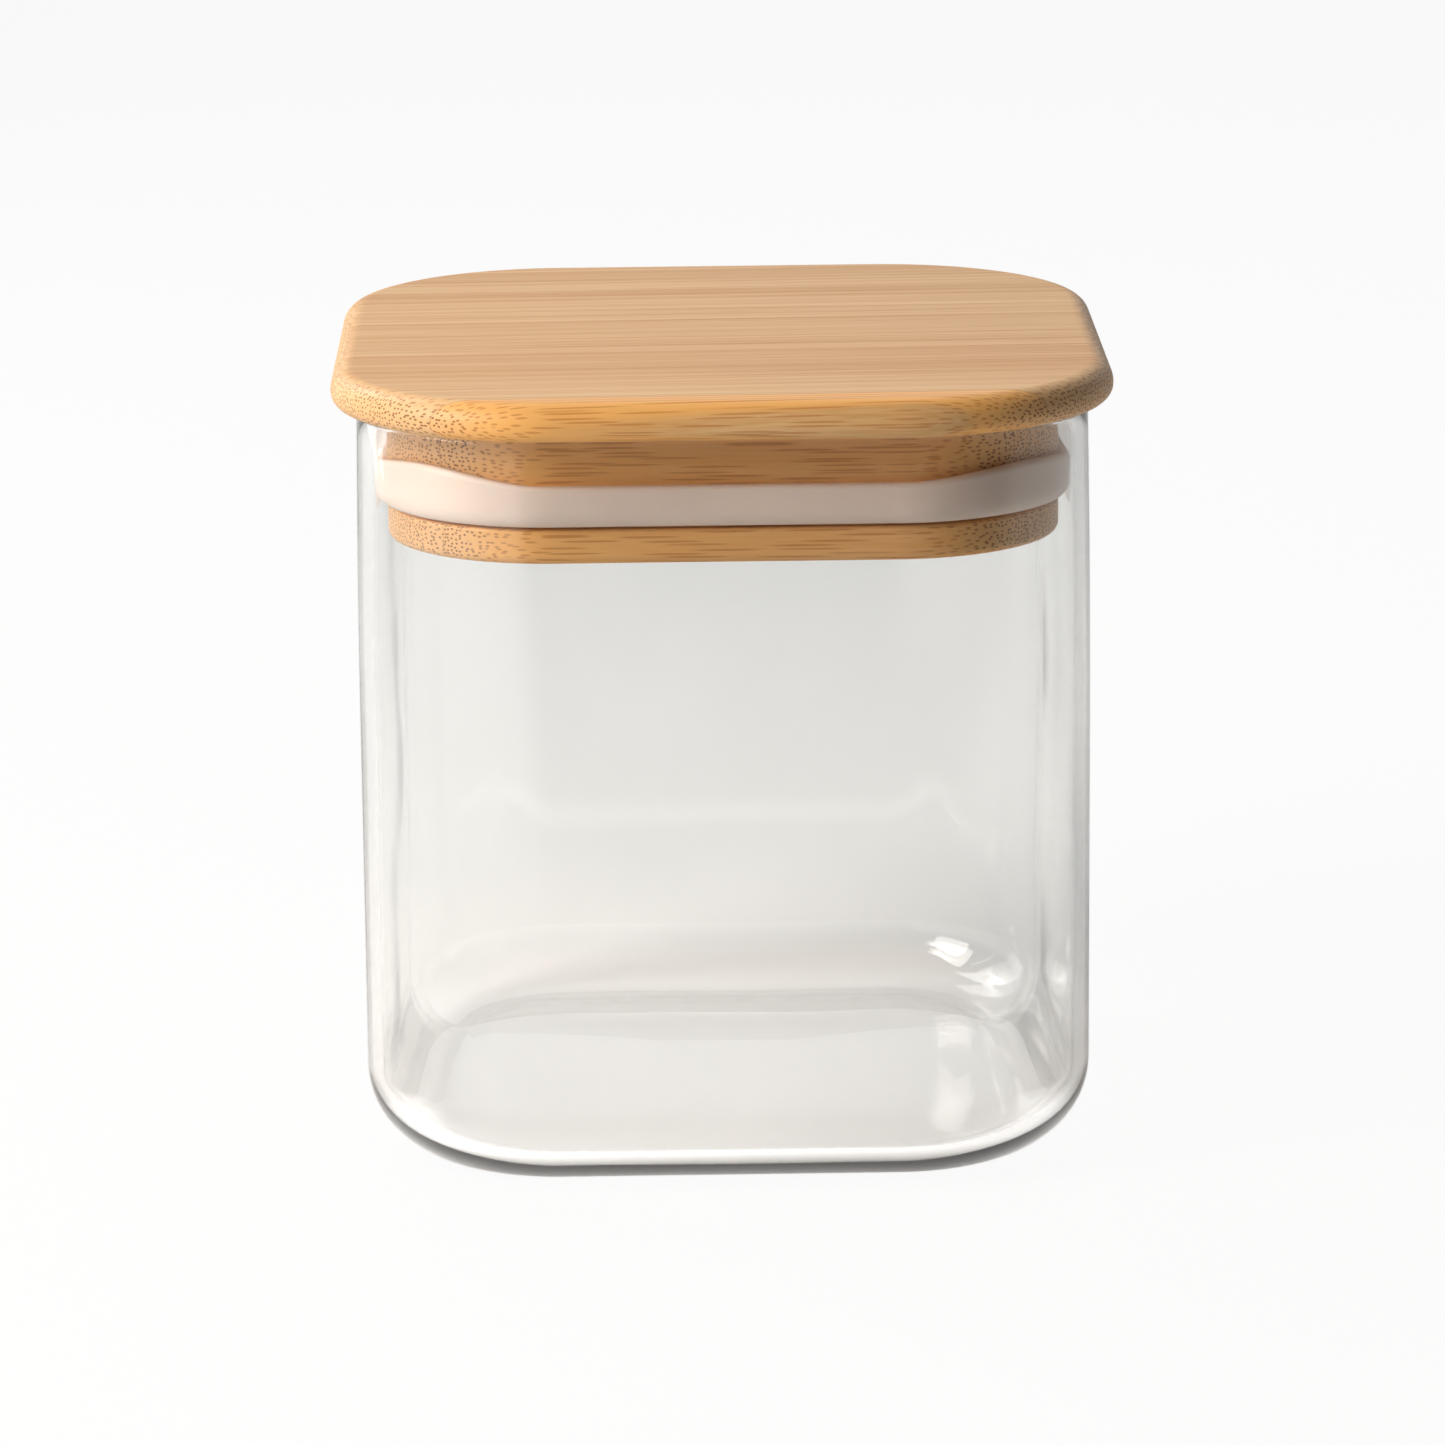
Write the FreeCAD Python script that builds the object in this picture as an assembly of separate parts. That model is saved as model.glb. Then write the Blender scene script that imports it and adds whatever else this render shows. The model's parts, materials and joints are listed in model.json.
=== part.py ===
import FreeCAD, Part
import os

# A square glass storage jar with a lift-off bamboo lid and a silicone seal.
# Lengths are in millimetres. The origin is the centre of the jar's base, +Z is up,
# and the front is towards -Y. The lid is a board with a plug under it. Each was cut from
# a blank glued up from upright bamboo strips, and every strip is a solid of its own.

# Glass jar
jar_width = 100.0
jar_corner = 27.0           # radius of the upright corners
jar_rim_z = 104.8           # the rim, which the lid rests on
jar_wall = 2.1
jar_floor = 3.2
jar_base_round = 12.0       # where the wall turns into the base, outside
jar_floor_round = 9.0       # where the wall turns into the floor, inside
jar_rim_round = 1.0         # fire-polished edges of the rim
jar_lean = 0.45             # how far the wall leans in at the rim
jar_lean_from = 58.0        # the height from which it leans, in one long curve

# Top board of the lid
board_width = 106.0
board_corner = 30.2
board_thickness = 5.2
board_top_round = 3.0
board_under_round = 2.0

# Plug under the board, with a groove round it for the seal
plug_width = 91.2
plug_bottom_z = 87.1
plug_flare = 0.4            # the plug widens a little where it meets the board
plug_bottom_round = 1.3
groove_depth = 1.2
groove_low_z = 91.9
groove_high_z = 97.9
groove_edge_round = 0.5     # eased edge of the plug below the groove

# Bamboo blanks. The strips run along X, turned a little because the blanks were cut
# slightly off the grain. A joint's place is its Y at X = 0.
strip_width = 7.9
grain_skew = 2.0            # degrees about Z
board_first_joint = -47.0
board_joints = 13
plug_first_joint = -39.3
plug_joints = 11

# Silicone seal, which hangs from the groove's upper face
seal_floor_gap = 0.1        # between the seal and the groove's floor
seal_low_gap = 0.4          # between the seal and the groove's lower face
seal_proud = 1.6            # how far the seal stands out of the plug
seal_belly = 2.6            # height of the curve that draws in to the seal's lower edge
seal_top_round = 0.6

# The plug and the seal share the axes of the jar's corners, so the gap is even all round
jar_inner_corner = jar_corner - jar_wall
plug_corner = jar_corner - (jar_width - plug_width) / 2
lid_top_z = jar_rim_z + board_thickness


def at(out, z):
    # A point of a section: its distance out from the axis of the corner's arc, and its height
    return FreeCAD.Vector(out, 0, z)


def line(start, end):
    return Part.LineSegment(start, end).toShape()


def arc(start, end, centre):
    # The shorter arc from start to end
    outward = (start + end) * 0.5 - centre
    outward.normalize()
    return Part.Arc(start, centre + outward * start.distanceToPoint(centre), end).toShape()


def section_face(edges):
    return Part.Face(Part.Wire(edges))


def around_square(section, width, corner, core=None):
    # Sweeps a section round a square with rounded corners: turned at each corner and
    # drawn straight along each side. A section that reaches in to the corner's axis
    # leaves a square in the middle, which core fills from its low to its high level.
    reach = width / 2 - corner
    up = FreeCAD.Vector(0, 0, 1)
    axis = FreeCAD.Vector(reach, reach, 0)
    pieces = []
    for quarter in range(4):
        placed = section.copy()
        placed.translate(axis)
        turned = placed.revolve(axis, up, 90)
        drawn = placed.extrude(FreeCAD.Vector(0, -2 * reach, 0))
        for piece in (turned, drawn):
            piece.rotate(FreeCAD.Vector(0, 0, 0), up, 90 * quarter)
            pieces.append(piece)
    if core:
        low, high = core
        pieces.append(Part.makeBox(2 * reach, 2 * reach, high - low, FreeCAD.Vector(-reach, -reach, low)))
    return pieces[0].multiFuse(pieces[1:]).removeSplitter()


def glass_jar():
    base_in = jar_corner - jar_base_round
    floor_in = jar_inner_corner - jar_floor_round
    floor_high = jar_floor + jar_floor_round
    rim_low = jar_rim_z - jar_rim_round
    # Near the rim each face of the wall leans in along an arc that starts upright
    lean_rise = rim_low - jar_lean_from
    lean_radius = (lean_rise ** 2 + jar_lean ** 2) / (2 * jar_lean)
    wall_out = jar_corner - jar_lean
    wall_in = jar_inner_corner - jar_lean
    rim_out = wall_out - jar_rim_round
    rim_in = wall_in + jar_rim_round
    edges = [
        line(at(0, 0), at(base_in, 0)),
        arc(at(base_in, 0), at(jar_corner, jar_base_round), at(base_in, jar_base_round)),
        line(at(jar_corner, jar_base_round), at(jar_corner, jar_lean_from)),
        arc(at(jar_corner, jar_lean_from), at(wall_out, rim_low),
            at(jar_corner - lean_radius, jar_lean_from)),
        arc(at(wall_out, rim_low), at(rim_out, jar_rim_z), at(rim_out, rim_low)),
        line(at(rim_out, jar_rim_z), at(rim_in, jar_rim_z)),
        arc(at(rim_in, jar_rim_z), at(wall_in, rim_low), at(rim_in, rim_low)),
        arc(at(wall_in, rim_low), at(jar_inner_corner, jar_lean_from),
            at(jar_inner_corner - lean_radius, jar_lean_from)),
        line(at(jar_inner_corner, jar_lean_from), at(jar_inner_corner, floor_high)),
        arc(at(jar_inner_corner, floor_high), at(floor_in, jar_floor), at(floor_in, floor_high)),
        line(at(floor_in, jar_floor), at(0, jar_floor)),
        line(at(0, jar_floor), at(0, 0)),
    ]
    return around_square(section_face(edges), jar_width, jar_corner, core=(0, jar_floor))


def lid_board():
    under_in = board_corner - board_under_round
    under_high = jar_rim_z + board_under_round
    top_in = board_corner - board_top_round
    top_low = lid_top_z - board_top_round
    edges = [
        line(at(0, jar_rim_z), at(under_in, jar_rim_z)),
        arc(at(under_in, jar_rim_z), at(board_corner, under_high), at(under_in, under_high)),
        line(at(board_corner, under_high), at(board_corner, top_low)),
        arc(at(board_corner, top_low), at(top_in, lid_top_z), at(top_in, top_low)),
        line(at(top_in, lid_top_z), at(0, lid_top_z)),
        line(at(0, lid_top_z), at(0, jar_rim_z)),
    ]
    return around_square(section_face(edges), board_width, board_corner, core=(jar_rim_z, lid_top_z))


def lid_plug():
    bottom_in = plug_corner - plug_bottom_round
    bottom_high = plug_bottom_z + plug_bottom_round
    eased_in = plug_corner - groove_edge_round
    eased_low = groove_low_z - groove_edge_round
    groove_in = plug_corner - groove_depth
    edges = [
        line(at(0, plug_bottom_z), at(bottom_in, plug_bottom_z)),
        arc(at(bottom_in, plug_bottom_z), at(plug_corner, bottom_high), at(bottom_in, bottom_high)),
        line(at(plug_corner, bottom_high), at(plug_corner, eased_low)),
        arc(at(plug_corner, eased_low), at(eased_in, groove_low_z), at(eased_in, eased_low)),
        line(at(eased_in, groove_low_z), at(groove_in, groove_low_z)),
        line(at(groove_in, groove_low_z), at(groove_in, groove_high_z)),
        line(at(groove_in, groove_high_z), at(plug_corner, groove_high_z)),
        line(at(plug_corner, groove_high_z), at(plug_corner + plug_flare, jar_rim_z)),
        line(at(plug_corner + plug_flare, jar_rim_z), at(0, jar_rim_z)),
        line(at(0, jar_rim_z), at(0, plug_bottom_z)),
    ]
    return around_square(section_face(edges), plug_width, plug_corner, core=(plug_bottom_z, jar_rim_z))


def seal_ring():
    inside = plug_corner - groove_depth + seal_floor_gap
    low = groove_low_z + seal_low_gap
    belly_high = low + seal_belly
    face = plug_corner + seal_proud
    # The belly's arc starts at the plug's face and turns upright where it meets the seal's face
    belly_radius = (seal_proud ** 2 + seal_belly ** 2) / (2 * seal_proud)
    top_in = face - seal_top_round
    top_low = groove_high_z - seal_top_round
    edges = [
        line(at(inside, low), at(plug_corner, low)),
        arc(at(plug_corner, low), at(face, belly_high), at(face - belly_radius, belly_high)),
        line(at(face, belly_high), at(face, top_low)),
        arc(at(face, top_low), at(top_in, groove_high_z), at(top_in, top_low)),
        line(at(top_in, groove_high_z), at(inside, groove_high_z)),
        line(at(inside, groove_high_z), at(inside, low)),
    ]
    return around_square(section_face(edges), plug_width, plug_corner)


def sawn_into_strips(blank, first_joint, joint_count):
    # Cuts a blank along its glue joints, from the front strip to the back one
    reach = blank.BoundBox.DiagonalLength
    joints = [first_joint + strip_width * count for count in range(joint_count)]
    cuts = [-reach] + joints + [reach]
    strips = []
    for low, high in zip(cuts, cuts[1:]):
        slab = Part.makeBox(2 * reach, high - low, 2 * reach, FreeCAD.Vector(-reach, low, -reach))
        slab.rotate(FreeCAD.Vector(0, 0, 0), FreeCAD.Vector(0, 0, 1), grain_skew)
        strips.append(blank.common(slab))
    return strips


def write_step(node, shape):
    # Every node is one closed solid
    solid, = shape.Solids
    if not solid.isValid():
        raise ValueError(node + " is not a valid solid")
    solid.exportStep(os.path.join("parts", node + ".step"))
    print(node, round(solid.Volume / 1000, 2), "cm3")


os.makedirs("parts", exist_ok=True)
write_step("glass_jar", glass_jar())
write_step("seal_ring", seal_ring())
for number, strip in enumerate(sawn_into_strips(lid_board(), board_first_joint, board_joints), 1):
    write_step("board_strip_%02d" % number, strip)
for number, strip in enumerate(sawn_into_strips(lid_plug(), plug_first_joint, plug_joints), 1):
    write_step("plug_strip_%02d" % number, strip)
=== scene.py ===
import json
import math

import bmesh
import bpy
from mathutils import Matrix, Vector, noise

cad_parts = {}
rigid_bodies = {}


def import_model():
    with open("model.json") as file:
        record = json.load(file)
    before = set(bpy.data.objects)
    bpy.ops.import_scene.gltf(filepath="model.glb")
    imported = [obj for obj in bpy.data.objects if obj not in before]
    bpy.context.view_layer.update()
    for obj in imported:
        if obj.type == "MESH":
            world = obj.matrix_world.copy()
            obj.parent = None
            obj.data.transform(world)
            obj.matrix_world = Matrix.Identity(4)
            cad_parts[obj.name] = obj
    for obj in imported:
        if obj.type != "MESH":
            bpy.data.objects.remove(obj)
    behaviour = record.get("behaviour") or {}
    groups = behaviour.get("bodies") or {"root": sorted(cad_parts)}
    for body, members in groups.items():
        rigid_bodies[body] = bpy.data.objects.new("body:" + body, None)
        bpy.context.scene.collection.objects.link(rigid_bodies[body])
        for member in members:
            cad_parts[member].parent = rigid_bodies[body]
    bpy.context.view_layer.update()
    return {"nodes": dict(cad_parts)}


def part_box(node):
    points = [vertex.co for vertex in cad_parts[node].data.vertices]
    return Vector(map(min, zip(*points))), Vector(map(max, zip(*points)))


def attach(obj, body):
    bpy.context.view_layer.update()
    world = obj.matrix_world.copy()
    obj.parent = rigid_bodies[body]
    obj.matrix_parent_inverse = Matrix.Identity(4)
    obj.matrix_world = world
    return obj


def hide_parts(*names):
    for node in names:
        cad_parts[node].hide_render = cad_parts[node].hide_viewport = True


for leftover in list(bpy.data.objects):
    bpy.data.objects.remove(leftover)
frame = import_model()
print("frame loaded:", len(frame["nodes"]), "nodes")

mm = 0.001
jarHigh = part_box("glass_jar")[1]
sealLow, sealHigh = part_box("seal_ring")
cornerAxis = 23.0           # the upright corners of jar, plug and seal turn about (23, 23), in mm


class Wire:
    # an output socket that takes part in sums like a number
    def __init__(self, nodes, socket):
        self.nodes, self.socket = nodes, socket

    def __add__(self, other):
        return self.nodes.maths("ADD", self, other)

    def __radd__(self, other):
        return self.nodes.maths("ADD", other, self)

    def __sub__(self, other):
        return self.nodes.maths("SUBTRACT", self, other)

    def __rsub__(self, other):
        return self.nodes.maths("SUBTRACT", other, self)

    def __mul__(self, other):
        return self.nodes.maths("MULTIPLY", self, other)

    def __rmul__(self, other):
        return self.nodes.maths("MULTIPLY", other, self)

    def __truediv__(self, other):
        return self.nodes.maths("DIVIDE", self, other)


class Nodes:
    def __init__(self, owner):
        owner.use_nodes = True
        self.tree = owner.node_tree
        self.tree.nodes.clear()

    def node(self, kind, settings=None, sockets=None, out=0):
        made = self.tree.nodes.new("ShaderNode" + kind)
        for name, value in (settings or {}).items():
            setattr(made, name, value)
        for name, value in (sockets or {}).items():
            if isinstance(value, Wire):
                self.tree.links.new(value.socket, made.inputs[name])
            else:
                made.inputs[name].default_value = value
        return Wire(self, made.outputs[out] if made.outputs else None)

    def maths(self, operation, *values):
        return self.node("Math", {"operation": operation}, dict(enumerate(values)))

    def rise(self, value, low, high):          # 0 below low, 1 above high, smooth between
        return self.node("MapRange", {"interpolation_type": "SMOOTHSTEP"},
                         {"Value": value, "From Min": low, "From Max": high})

    def blend(self, amount, first, second, how="MIX"):
        return self.node("Mix", {"data_type": "RGBA", "blend_type": how},
                         {0: amount, 6: first, 7: second}, out=2)

    def vector(self, x, y, z):
        return self.node("CombineXYZ", None, {"X": x, "Y": y, "Z": z})

    def split(self, vector):
        return [self.node("SeparateXYZ", None, {"Vector": vector}, out=axis) for axis in "XYZ"]

    def noise(self, vector, scale, detail=2.0, rough=0.5):
        return self.node("TexNoise", None,
                         {"Vector": vector, "Scale": scale, "Detail": detail, "Roughness": rough})


def shade(red, green, blue):
    return (red, green, blue, 1.0)


bamboo = {
    "pitch": 7.9,                              # width of one glued strip, mm
    "skew": 2.0,                               # grain against the lid's edges, degrees
    "amber": shade(0.85, 0.43, 0.12),
    "endGrain": shade(0.70, 0.42, 0.20),
    "fibre": shade(0.40, 0.105, 0.010),
    "pore": shade(0.17, 0.05, 0.008),
    "glue": shade(0.42, 0.210, 0.075),
    "bundleHeight": 0.56,                      # spacing of the fibre bundles up the strip, mm
    "sparse": 0.72,                            # and across it, from its inner side, mm
    "dense": 0.38,                             # to its outer side
    "scatter": 0.75, "sway": 1.2,              # how far bundles stand off an even grid, and wander
    "bundleEdge": (0.17, 0.31),                # where a bundle fades out, in cells from its middle
    "shownAlong": 0.55, "shownEndwise": 0.45,  # how dark bundles look from the side, and what ends add
    "glueEdge": (0.03, 0.12),                  # where half a glue line fades out, mm
    "sawnAcross": (0.22, 0.62),                # how squarely a face cuts the fibres before ends show
    "knotSize": (5.0, 2.6),                    # along and across the grain, mm
    # how quickly each kind of unevenness changes along the grain and across it, per mm
    "wander": (0.006, 0.12), "fullness": (0.014, 0.9), "fine": (0.05, 4.5), "broad": (0.015, 0.8),
    "roughness": 0.44, "bump": 0.05, "bumpDepth": 0.2,
    "gloss": 0.3, "ior": 1.5,
}

# the two glued blanks: amberFrom says where across its front strip the wood turns amber, and on the board the
# paler wood kept in front of that is painted reflection of the glass rim; a growth knot has a place along the
# grain, one across it, both in mm, and a strength
blanks = {
    "board": {"firstJoint": -47.0, "seed": 4.0, "amberFrom": (0.24, 0.38),
              "pale": shade(0.70, 0.435, 0.20), "deep": shade(0.57, 0.30, 0.105),
              "knots": [(3.0, 13.0, 1.0), (-33.0, 32.0, 0.7), (43.0, -11.5, 0.8)]},
    # the plug's redder, more saturated wood is partly painted warm light, bounced between the bamboo and the
    # seal in the shaded groove
    "plug": {"firstJoint": -39.3, "seed": 31.0, "amberFrom": (-0.2, 0.6),
             "pale": shade(0.86, 0.48, 0.215), "deep": shade(0.76, 0.36, 0.125),
             "knots": [(14.0, -20.0, 0.8)]},
}


def bambooFinish(name, blank):
    material = bpy.data.materials.new(name)
    n = Nodes(material)
    coords = n.tree.nodes.new("ShaderNodeTexCoord")
    place = Wire(n, coords.outputs["Object"])
    facing = Wire(n, coords.outputs["Normal"])
    skew = math.radians(bamboo["skew"])
    turned = n.node("Mapping", {"vector_type": "POINT"},
                    {"Vector": place, "Rotation": (0.0, 0.0, -skew), "Scale": (1 / mm,) * 3})
    along, across, up = n.split(turned)

    lane = (across / math.cos(skew) - blank["firstJoint"]) / bamboo["pitch"]
    strip = n.maths("FLOOR", lane)
    depth = lane - strip                       # 0 at a strip's front joint, 1 at its back joint
    lot = n.node("TexWhiteNoise", {"noise_dimensions": "1D"}, {"W": strip + blank["seed"]}, out="Color")
    toneLot, lengthLot, heightLot = n.split(lot)
    length = along + lengthLot * 400.0         # each strip was cut from another stretch of cane

    def uneven(kind, *detail):
        alongRate, acrossRate = bamboo[kind]
        return n.noise(n.vector(length * alongRate, across * acrossRate, up * acrossRate), 1.0, *detail)

    # bundles of fibres run the length of a strip, and crowd towards its back joint
    drift = (uneven("wander") - 0.5) * bamboo["sway"]
    width = depth * bamboo["pitch"]
    crowd = (1 / bamboo["dense"] - 1 / bamboo["sparse"]) / (2 * bamboo["pitch"])
    cellX = width / bamboo["sparse"] + width * width * crowd + strip * 37.3 + drift
    cellY = (up + heightLot * 60.0) / bamboo["bundleHeight"] + drift
    reach = n.node("TexVoronoi", {"voronoi_dimensions": "2D"},
                   {"Vector": n.vector(cellX, cellY, 0.0), "Scale": 1.0, "Randomness": bamboo["scatter"]})
    bundle = (1 - n.rise(reach, *bamboo["bundleEdge"])) * n.rise(uneven("fullness", 1.0), 0.2, 0.42)

    # the softer stuff between them is streaked along the strip
    fine = uneven("fine", 3.0, 0.6)
    broad = uneven("broad")
    tone = toneLot * 0.9 + depth * 0.3 + (fine - 0.5) * 2.0 + (broad - 0.5) * 2.0
    body = n.blend(n.rise(tone, -0.1, 1.5), blank["pale"], blank["deep"])
    # painted reflection: on the board the front-most band of the front strip stays paler than amber, where
    # its edge mirrors the glass rim
    frontStrip = (1 - n.rise(strip, -0.6, -0.4)) * n.rise(depth, *blank["amberFrom"])
    body = n.blend(frontStrip * 0.85, body, bamboo["amber"])

    # where the saw went across the fibres, their ends show as dark pores in paler wood
    grainWay = n.node("VectorMath", {"operation": "DOT_PRODUCT"},
                      {0: facing, 1: (math.cos(skew), math.sin(skew), 0.0)}, out="Value")
    endwise = n.rise(n.maths("ABSOLUTE", grainWay), *bamboo["sawnAcross"])
    body = n.blend(endwise * 0.75, body, bamboo["endGrain"])
    ink = n.blend(endwise, bamboo["fibre"], bamboo["pore"])
    shown = bamboo["shownAlong"] + endwise * bamboo["shownEndwise"]
    body = n.blend(bundle * shown * (0.8 + depth * 0.2), body, ink)

    glue = 1 - n.rise(n.maths("PINGPONG", lane, 0.5) * bamboo["pitch"], *bamboo["glueEdge"])
    body = n.blend(glue * 0.45, body, bamboo["glue"])

    knotLength, knotWidth = bamboo["knotSize"]
    for knotAlong, knotAcross, strength in blank["knots"]:
        offAlong = (along - knotAlong) / knotLength
        offAcross = (across - knotAcross) / knotWidth
        off = n.maths("SQRT", offAlong * offAlong + offAcross * offAcross)
        knot = (1 - n.rise(off, 0.15, 1.0)) * n.rise(fine, 0.35, 0.6)
        body = n.blend(knot * strength * 0.6, body, blank["deep"])

    height = bundle * -0.6 + fine * 0.4 - glue * 0.4
    normal = n.node("Bump", None, {
        "Strength": bamboo["bump"], "Distance": bamboo["bumpDepth"] * mm, "Height": height})
    rough = bamboo["roughness"] + (fine - 0.5) * 0.12 + bundle * 0.08
    surface = n.node("BsdfPrincipled", None, {
        "Base Color": body, "Roughness": rough, "Normal": normal,
        "Specular IOR Level": bamboo["gloss"], "IOR": bamboo["ior"]})
    n.node("OutputMaterial", None, {"Surface": surface})
    return material


for blankName, blank in blanks.items():
    finish = bambooFinish(blankName + "Bamboo", blank)
    for nodeName, strip in frame["nodes"].items():
        if nodeName.startswith(blankName + "_strip"):
            for slot in strip.material_slots:
                slot.material = finish
print("bamboo strips finished")


def arc(centreX, centreZ, radius, start, end, steps):
    angles = [math.radians(start + (end - start) * step / steps) for step in range(steps + 1)]
    return [(centreX + radius * math.cos(a), centreZ + radius * math.sin(a)) for a in angles]


def line(first, last, steps):                  # the points between two ends
    return [(first[0] + (last[0] - first[0]) * step / steps,
             first[1] + (last[1] - first[1]) * step / steps) for step in range(1, steps)]


def squarePath(axis, cornerSteps, sideSteps):
    # where each column of a swept square starts, and the way it faces
    path = []
    for quarter in range(4):
        way = math.radians(90 * quarter)
        corner = Vector((math.cos(way) - math.sin(way), math.sin(way) + math.cos(way))) * axis
        for step in range(cornerSteps + 1):
            angle = way + math.radians(90 * step / cornerSteps)
            path.append((corner, Vector((math.cos(angle), math.sin(angle)))))
        facing = path[-1][1]
        onward = Vector((-facing.y, facing.x)) * 2 * axis
        for step in range(1, sideSteps):
            share = 0.5 - 0.5 * math.cos(math.pi * step / sideSteps)
            path.append((corner + onward * share, facing))
    return path


def sweep(section, path, closed):
    # rings of points, one for each point (distance out, height) of the section, joined into a skin
    mesh = bmesh.new()
    rings = []
    for out, height in section:
        ring = []
        for corner, facing in path:
            ring.append(mesh.verts.new(Vector((*(corner + facing * out), height)) * mm))
        rings.append(ring)
    count = len(path)
    pairs = list(zip(rings, rings[1:])) + ([(rings[-1], rings[0])] if closed else [])
    for low, high in pairs:
        for column in range(count):
            after = (column + 1) % count
            mesh.faces.new((low[column], low[after], high[after], high[column]))
    return mesh, rings


def closeEnd(mesh, ring, shares, lift):
    # fills a ring with smaller copies of itself round a point at its middle
    count = len(ring)
    middle = sum((v.co for v in ring), Vector()) / count
    outer = ring
    for share in shares:
        inner = [mesh.verts.new(middle + (v.co - middle) * share + Vector((0, 0, lift(share) * mm)))
                 for v in ring]
        for column in range(count):
            after = (column + 1) % count
            mesh.faces.new((outer[column], outer[after], inner[after], inner[column]))
        outer = inner
    tip = mesh.verts.new(middle + Vector((0, 0, lift(0) * mm)))
    for column in range(count):
        mesh.faces.new((outer[column], outer[(column + 1) % count], tip))


def piece(name, mesh, material, body, replaced):
    bmesh.ops.recalc_face_normals(mesh, faces=mesh.faces)
    data = bpy.data.meshes.new(name)
    mesh.to_mesh(data)
    mesh.free()
    data.shade_smooth()
    thing = bpy.data.objects.new(name, data)
    bpy.context.scene.collection.objects.link(thing)
    data.materials.append(material)
    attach(thing, body)
    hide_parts(replaced)
    return thing


glass = {
    "baseRound": 12.0, "floorRound": 9.0, "wall": 2.1, "floor": 3.2, "rimRound": 1.0,
    "corner": 27.0,                            # outer radius of the upright corners
    "lean": 0.45, "leanFrom": 58.0,            # how far the wall leans in at the rim, and from what height
    "kick": 0.5, "crown": 0.25,                # how far underside and inner floor rise at their middle
    "wave": 0.07,                              # unevenness of the blown inner face
    "waveRate": 0.045, "waveFade": 12.0,       # its changes per mm, and the stretch below the rim without it
    "tint": shade(0.975, 0.98, 0.975), "smear": shade(0.985, 0.988, 0.984), "smearScale": 60.0,
    "rippleScale": 26.0, "rippleBump": 0.25, "rippleDepth": 0.15,
    "lampTint": shade(0.93, 0.935, 0.935),     # light that passes one face on its way to something
    "grazing": 5.0,                            # how sharply that light drops at a glancing angle
    "gloss": 0.4, "ior": 1.47,
}
endShares = (0.985, 0.9, 0.75, 0.55, 0.35, 0.15)   # sizes of the rings that close the jar's flat parts


def glassFinish():
    material = bpy.data.materials.new("clearGlass")
    n = Nodes(material)
    coords = n.node("TexCoord", out="Object")
    ripple = n.noise(coords, glass["rippleScale"], 1.0)
    normal = n.node("Bump", None, {
        "Strength": glass["rippleBump"], "Distance": glass["rippleDepth"] * mm, "Height": ripple})
    smear = n.noise(coords, glass["smearScale"])
    tint = n.blend(n.rise(smear, 0.3, 0.7), glass["tint"], glass["smear"])
    clear = n.node("BsdfPrincipled", None, {
        "Base Color": tint, "Roughness": 0.0, "IOR": glass["ior"], "Specular IOR Level": glass["gloss"],
        "Transmission Weight": 1.0, "Normal": normal})
    facing = n.node("LayerWeight", None, {"Blend": 0.5}, out="Facing")
    grazing = n.maths("POWER", facing, glass["grazing"])
    lampColour = n.blend(grazing, glass["lampTint"], shade(0.0, 0.0, 0.0))
    straight = n.node("BsdfTransparent", None, {"Color": lampColour})
    paths = n.tree.nodes.new("ShaderNodeLightPath")
    bounce = n.node("MixShader", None,
                    {0: Wire(n, paths.outputs["Is Diffuse Ray"]), 1: clear, 2: straight})
    lamp = n.node("MixShader", None, {0: Wire(n, paths.outputs["Is Shadow Ray"]), 1: bounce, 2: straight})
    n.node("OutputMaterial", None, {"Surface": lamp})
    return material


def buildJar():
    outer, rim = glass["corner"], jarHigh.z / mm
    inner = outer - glass["wall"]
    baseRound, floorRound, rimRound = glass["baseRound"], glass["floorRound"], glass["rimRound"]
    rimLow = rim - rimRound

    def wall(out, low, steps):                 # up one face of the wall, which leans in near the rim
        heights = [low + (rimLow - low) * step / steps for step in range(1, steps + 1)]
        lean = [max(0.0, (z - glass["leanFrom"]) / (rimLow - glass["leanFrom"])) for z in heights]
        return [(out - glass["lean"] * share ** 2, z) for share, z in zip(lean, heights)]

    top = outer - glass["lean"]
    outside = arc(outer - baseRound, baseRound, baseRound, -90, 0, 28) + wall(outer, baseRound, 30)
    outside += arc(top - rimRound, rimLow, rimRound, 0, 90, 9)[1:]
    inside = arc(top - glass["wall"] + rimRound, rimLow, rimRound, 90, 180, 9)[:-1]
    inside += wall(inner, glass["floor"] + floorRound, 30)[::-1]
    inside += arc(inner - floorRound, glass["floor"] + floorRound, floorRound, 0, -90, 24)

    path = squarePath(cornerAxis, 44, 22)
    mesh, rings = sweep(outside + inside, path, False)
    for ring in rings[len(outside):]:          # the inner face isn't quite even, but the rim is
        for vert, (corner, facing) in zip(ring, path):
            fade = min(1.0, (rim - vert.co.z / mm) / glass["waveFade"])
            bend = noise.noise(vert.co / mm * glass["waveRate"] + Vector((7.3, 1.9, 4.1)))
            vert.co += Vector((*facing, 0.0)) * bend * glass["wave"] * fade * mm
    closeEnd(mesh, rings[0], endShares, lambda share: glass["kick"] * (1 - share ** 2))
    closeEnd(mesh, rings[-1], endShares, lambda share: glass["crown"] * (1 - share ** 2))
    return piece("glassJar", mesh, glassFinish(), "jar", "glass_jar")


buildJar()
print("glass jar built")


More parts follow.
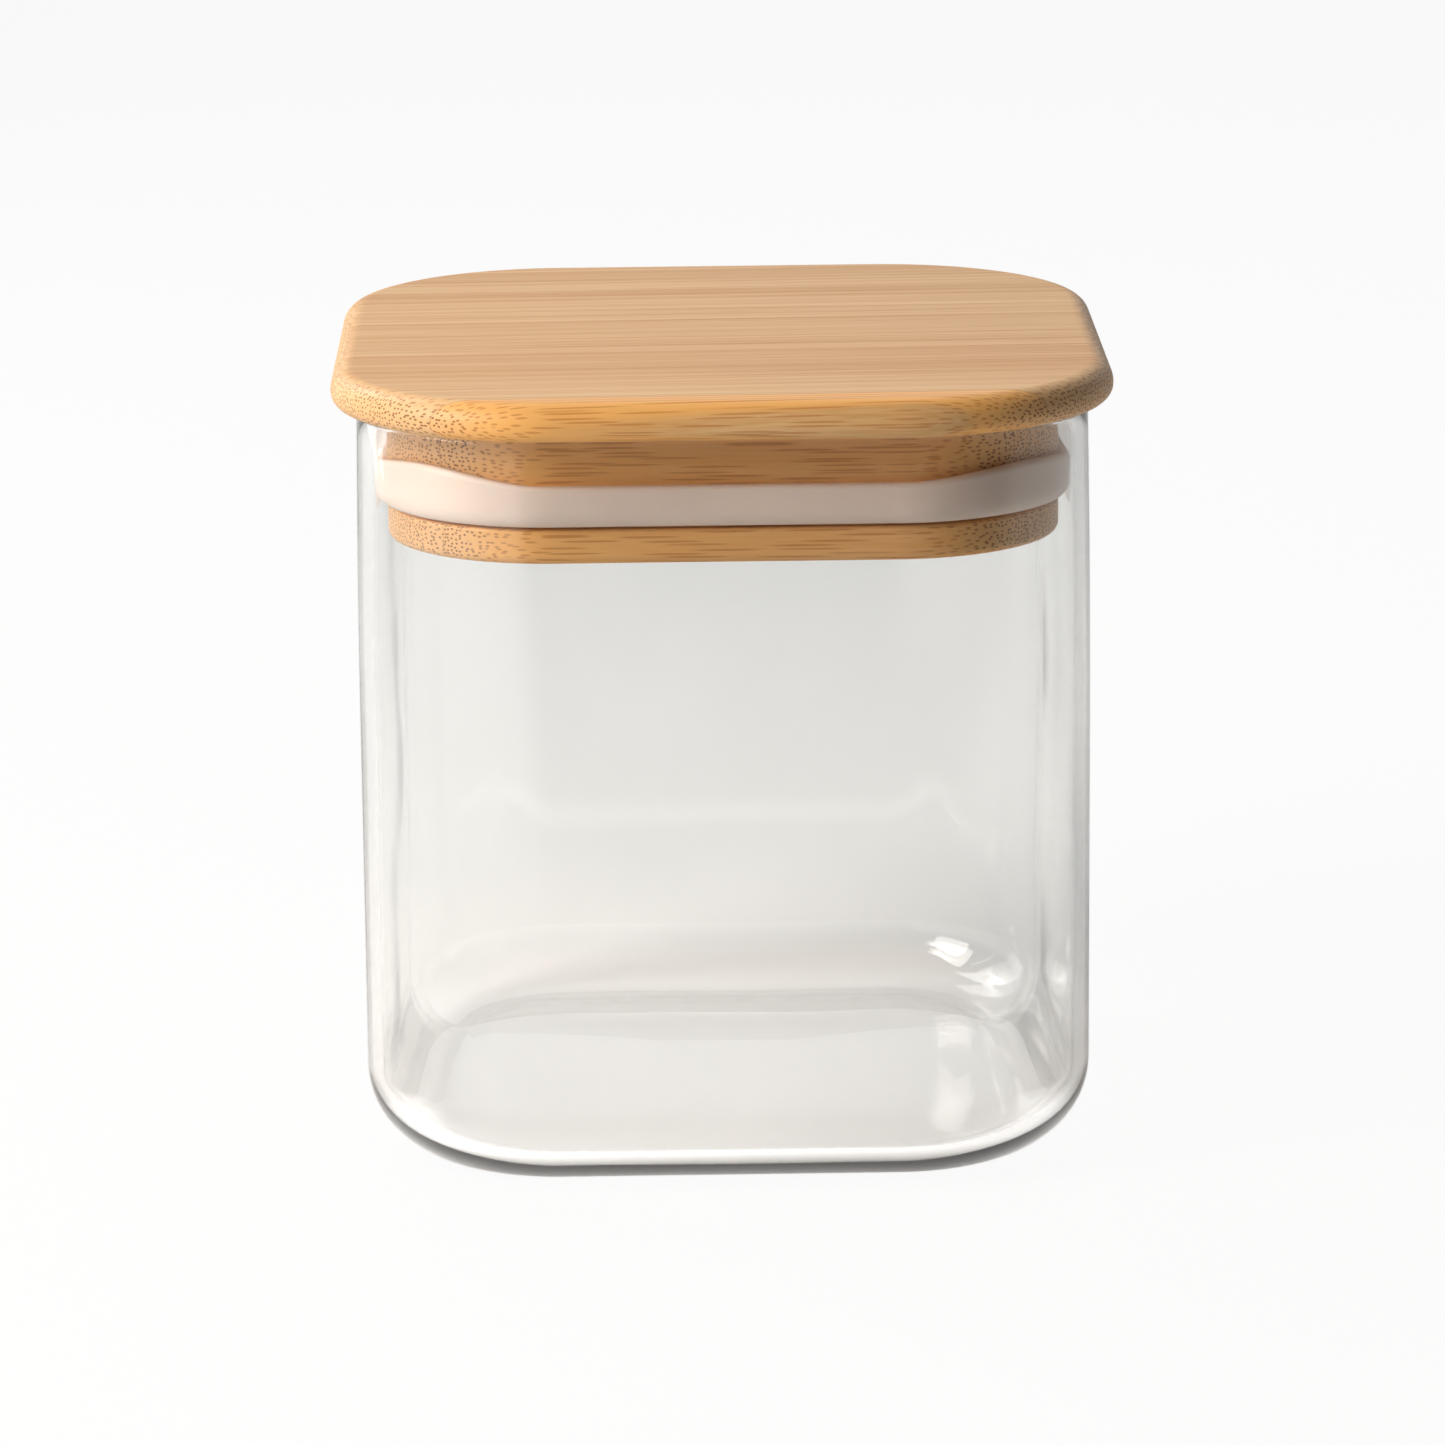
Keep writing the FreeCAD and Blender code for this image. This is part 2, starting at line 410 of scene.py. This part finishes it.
seal = {
    "back": 21.5, "foot": 22.6, "face": 24.2,  # distances out from the corner axis
    "belly": 2.6, "topRound": 0.6, "backRound": 0.15,
    "lift": {(-1, -1): 2.0, (1, -1): 1.4, (1, 1): 1.7, (-1, 1): 1.6},   # its top edge rides up at the corners
    "clear": 22.85, "ledge": 0.12,             # only what is outside this distance lifts, off a narrow ledge
    # colour and dust are warm beige: partly painted reflection, standing in for light bounced off the bamboo
    # onto white silicone
    "colour": shade(0.87, 0.71, 0.61),
    "dust": shade(0.83, 0.67, 0.575),
    "cloudScale": 90.0, "gritScale": 1500.0, "gritDepth": 0.05,
    "roughness": 0.42, "bump": 0.1, "ior": 1.41,
    "milk": 0.3, "milkDepth": 2.0, "milkColour": (1.0, 0.8, 0.65),
}


def sealFinish():
    material = bpy.data.materials.new("milkySilicone")
    n = Nodes(material)
    coords = n.node("TexCoord", out="Object")
    cloud = n.noise(coords, seal["cloudScale"], 3.0)
    grit = n.noise(coords, seal["gritScale"])
    # the warm beige base is partly painted reflection of the bamboo
    colour = n.blend(n.rise(cloud, 0.3, 0.75), seal["colour"], seal["dust"])
    rough = seal["roughness"] + cloud * 0.12
    normal = n.node("Bump", None, {
        "Strength": seal["bump"], "Distance": seal["gritDepth"] * mm, "Height": grit})
    surface = n.node("BsdfPrincipled", None, {
        "Base Color": colour, "Roughness": rough, "Normal": normal, "IOR": seal["ior"],
        "Subsurface Weight": seal["milk"], "Subsurface Radius": seal["milkColour"],
        "Subsurface Scale": seal["milkDepth"] * mm})
    n.node("OutputMaterial", None, {"Surface": surface})
    return material


def buildSeal():
    low, high = sealLow.z / mm, sealHigh.z / mm
    back, foot, face = seal["back"], seal["foot"], seal["face"]
    topRound, backRound = seal["topRound"], seal["backRound"]
    clear, ledge = seal["clear"], seal["clear"] - seal["ledge"]
    section = arc(back + backRound, low + backRound, backRound, 180, 270, 4)
    section += line((back + backRound, low), (foot, low), 4)
    for step in range(15):                     # the belly, which swells out from the lower edge
        angle = math.radians(-90 + 90 * step / 14)
        section.append((foot + (face - foot) * math.cos(angle), low + seal["belly"] * (1 + math.sin(angle))))
    section += line((face, low + seal["belly"]), (face, high - topRound), 6)
    section += arc(face - topRound, high - topRound, topRound, 0, 90, 8)
    section += [(clear, high), (ledge, high)]
    section += line((ledge, high), (back + backRound, high), 6)
    section += arc(back + backRound, high - backRound, backRound, 90, 180, 4)
    section += line((back, high - backRound), (back, low + backRound), 5)
    path = squarePath(cornerAxis, 32, 16)
    mesh, rings = sweep(section, path, True)
    for ring, (out, height) in zip(rings, section):
        if out >= clear:
            share = max(0.0, (height - low - seal["belly"]) / (high - low - seal["belly"]))
            for vert, (corner, facing) in zip(ring, path):
                lift = seal["lift"][(1 if corner.x > 0 else -1, 1 if corner.y > 0 else -1)]
                vert.co.z += lift * (2 * facing.x * facing.y) ** 2 * share * mm
    return piece("siliconeSeal", mesh, sealFinish(), "lid", "seal_ring")


buildSeal()
print("silicone seal built")


# distances in metres; names with Fade, From, To, Back and Front say where a fade starts and ends
studio = {
    "floorReach": 3.0, "floorRise": 0.8,       # reach of the flat floor, and radius of the curve up from it
    "floor": shade(0.80, 0.80, 0.79), "mottle": shade(0.81, 0.81, 0.80),
    "white": shade(1.0, 1.0, 1.0), "shownWhite": 0.92,
    "paintedShade": shade(0.11, 0.11, 0.11),          # painted shade: a dark grey patch on the floor, in front and to the right, which lamps and reflections see and the camera hardly does
    "paintedShadeEdge": (-0.03, -0.05), "paintedShadeWay": (0.91, -0.41),   # a point on its left edge, and its way
    "paintedShadeFade": (0.0, 0.1), "paintedShadeBack": (-0.30, -0.13),
    "glow": 0.09,                              # the floor glows like a light table, turned down
    "farGlow": 0.32, "farFrom": (0.7, 1.5),    # and more away from the middle
    "spill": 0.04, "spillTo": (0.027, 0.040),  # light that the jar's thick round base spills under itself
    "edgeSpill": 0.6, "edgeFrom": (0.016, 0.022), "edgeFront": (-0.035, -0.005),   # more at its front edge
    "skyBright": 1.1, "skyWay": (0.0, 1.0, 0.3),
}
floorColumns = 96

# areas of light to the left; the three windows look level, across the room
lamps = {
    "softbox": {"at": (-0.45, -0.25, 0.35), "aim": (0.0, 0.0, 0.07), "size": (0.3, 0.3), "power": 2.85,
                "colour": (1.0, 0.95, 0.905)},
    "windowNear": {"at": (-0.45, -0.35, 0.65), "aim": (0.0, -0.35, 0.65), "size": (0.4, 0.5), "power": 3.6,
                   "colour": (1.0, 0.95, 0.89)},
    "windowFar": {"at": (-0.45, 0.45, 0.65), "aim": (0.0, 0.45, 0.65), "size": (0.4, 0.5), "power": 4.1,
                  "colour": (1.0, 1.0, 0.99)},
    "windowSill": {"at": (-0.45, 0.45, 0.20), "aim": (0.0, 0.45, 0.20), "size": (0.4, 0.4), "power": 0.8,
                   "colour": (1.0, 1.0, 0.99)},
}


def buildFloor():
    mesh = bmesh.new()
    reach, rise = studio["floorReach"], studio["floorRise"]
    profile = [(reach * share, 0.0) for share in (0.05, 0.1, 0.2, 0.4, 0.7)]
    profile += arc(reach, rise, rise, -90, -5, 14)
    rings = []
    for out, height in profile:
        ring = []
        for step in range(floorColumns):
            angle = math.radians(360 * step / floorColumns)
            ring.append(mesh.verts.new((out * math.cos(angle), out * math.sin(angle), height)))
        rings.append(ring)
    for low, high in zip(rings, rings[1:]):
        for column in range(floorColumns):
            after = (column + 1) % floorColumns
            mesh.faces.new((low[column], high[column], high[after], low[after]))
    mesh.faces.new(rings[0])
    data = bpy.data.meshes.new("studioFloor")
    mesh.to_mesh(data)
    mesh.free()
    data.shade_smooth()
    floor = bpy.data.objects.new("studioFloor", data)
    bpy.context.scene.collection.objects.link(floor)

    material = bpy.data.materials.new("paleFloor")
    n = Nodes(material)
    coords = n.node("TexCoord", out="Object")
    colour = n.blend(n.noise(coords, 3.0), studio["floor"], studio["mottle"])
    x, y = n.split(coords)[:2]
    (edgeX, edgeY), (wayX, wayY) = studio["paintedShadeEdge"], studio["paintedShadeWay"]
    aside = (x - edgeX) * wayX + (y - edgeY) * wayY
    # painted shade: the floor is dark in front and to the right, which darkens the light bounced onto the
    # lid's right side
    inPaintedShade = n.rise(aside, *studio["paintedShadeFade"]) * (1 - n.rise(y, *studio["paintedShadeBack"]))
    matt = n.node("BsdfDiffuse", None, {"Color": n.blend(inPaintedShade, colour, studio["paintedShade"])})

    # how far out from the square between the jar's corner axes
    awayX = n.maths("MAXIMUM", n.maths("ABSOLUTE", x) - cornerAxis * mm, 0.0)
    awayY = n.maths("MAXIMUM", n.maths("ABSOLUTE", y) - cornerAxis * mm, 0.0)
    away = n.maths("SQRT", awayX * awayX + awayY * awayY)
    underJar = 1 - n.rise(away, *studio["spillTo"])
    underEdge = underJar * n.rise(away, *studio["edgeFrom"]) * (1 - n.rise(y, *studio["edgeFront"]))
    strength = ((1 - inPaintedShade) * studio["glow"] + underJar * studio["spill"]
                + underEdge * studio["edgeSpill"] + n.rise(away, *studio["farFrom"]) * studio["farGlow"])
    glow = n.node("Emission", None, {"Color": studio["white"], "Strength": strength})
    table = n.node("AddShader", None, {0: matt, 1: glow})

    # seen directly it is a plain white backdrop
    white = n.node("Emission", None, {"Color": studio["white"], "Strength": 1.0})
    bright = n.node("MixShader", None, {0: studio["shownWhite"], 1: matt, 2: white})
    seen = n.node("LightPath", out="Is Camera Ray")
    surface = n.node("MixShader", None, {0: seen, 1: table, 2: bright})
    n.node("OutputMaterial", None, {"Surface": surface})
    data.materials.append(material)


def buildLamps():
    for name, lamp in lamps.items():
        data = bpy.data.lights.new(name, "AREA")
        data.shape = "RECTANGLE"
        data.size, data.size_y = lamp["size"]
        data.energy = lamp["power"]
        data.color = lamp["colour"]
        light = bpy.data.objects.new(name, data)
        bpy.context.scene.collection.objects.link(light)
        light.location = lamp["at"]
        way = Vector(lamp["aim"]) - Vector(lamp["at"])
        light.rotation_euler = way.to_track_quat("-Z", "Y").to_euler()


def buildWorld():
    world = bpy.data.worlds.new("studioAir")
    bpy.context.scene.world = world
    n = Nodes(world)
    way = n.node("TexCoord", out="Generated")
    side = n.node("VectorMath", {"operation": "DOT_PRODUCT"},
                  {0: way, 1: Vector(studio["skyWay"]).normalized()}, out="Value")
    facing = n.maths("MAXIMUM", side, 0.0)
    strength = facing * facing * studio["skyBright"]
    air = n.node("Background", None, {"Color": studio["white"], "Strength": strength})
    n.node("OutputWorld", None, {"Surface": air})


buildFloor()
buildLamps()
buildWorld()
bpy.context.scene.view_settings.view_transform = "Standard"
print("studio ready")


shot = {
    "at": (-0.0123, -0.9050, 0.2797), "aim": (-0.000076, 0.0, 0.053825),
    "lens": 165.15, "sensor": 36.0,
    "lean": -0.562,                            # degrees the camera is rolled
}

lens = bpy.data.cameras.new("camera")
lens.lens, lens.sensor_width = shot["lens"], shot["sensor"]
lens.clip_start, lens.clip_end = 0.01, 20.0
camera = bpy.data.objects.new("camera", lens)
bpy.context.scene.collection.objects.link(camera)
camera.location = shot["at"]
toward = Vector(shot["aim"]) - Vector(shot["at"])
camera.rotation_euler = toward.to_track_quat("-Z", "Y").to_euler()
camera.rotation_euler.rotate_axis("Z", math.radians(shot["lean"]))
bpy.context.scene.camera = camera
print("camera placed")

bpy.context.view_layer.update()
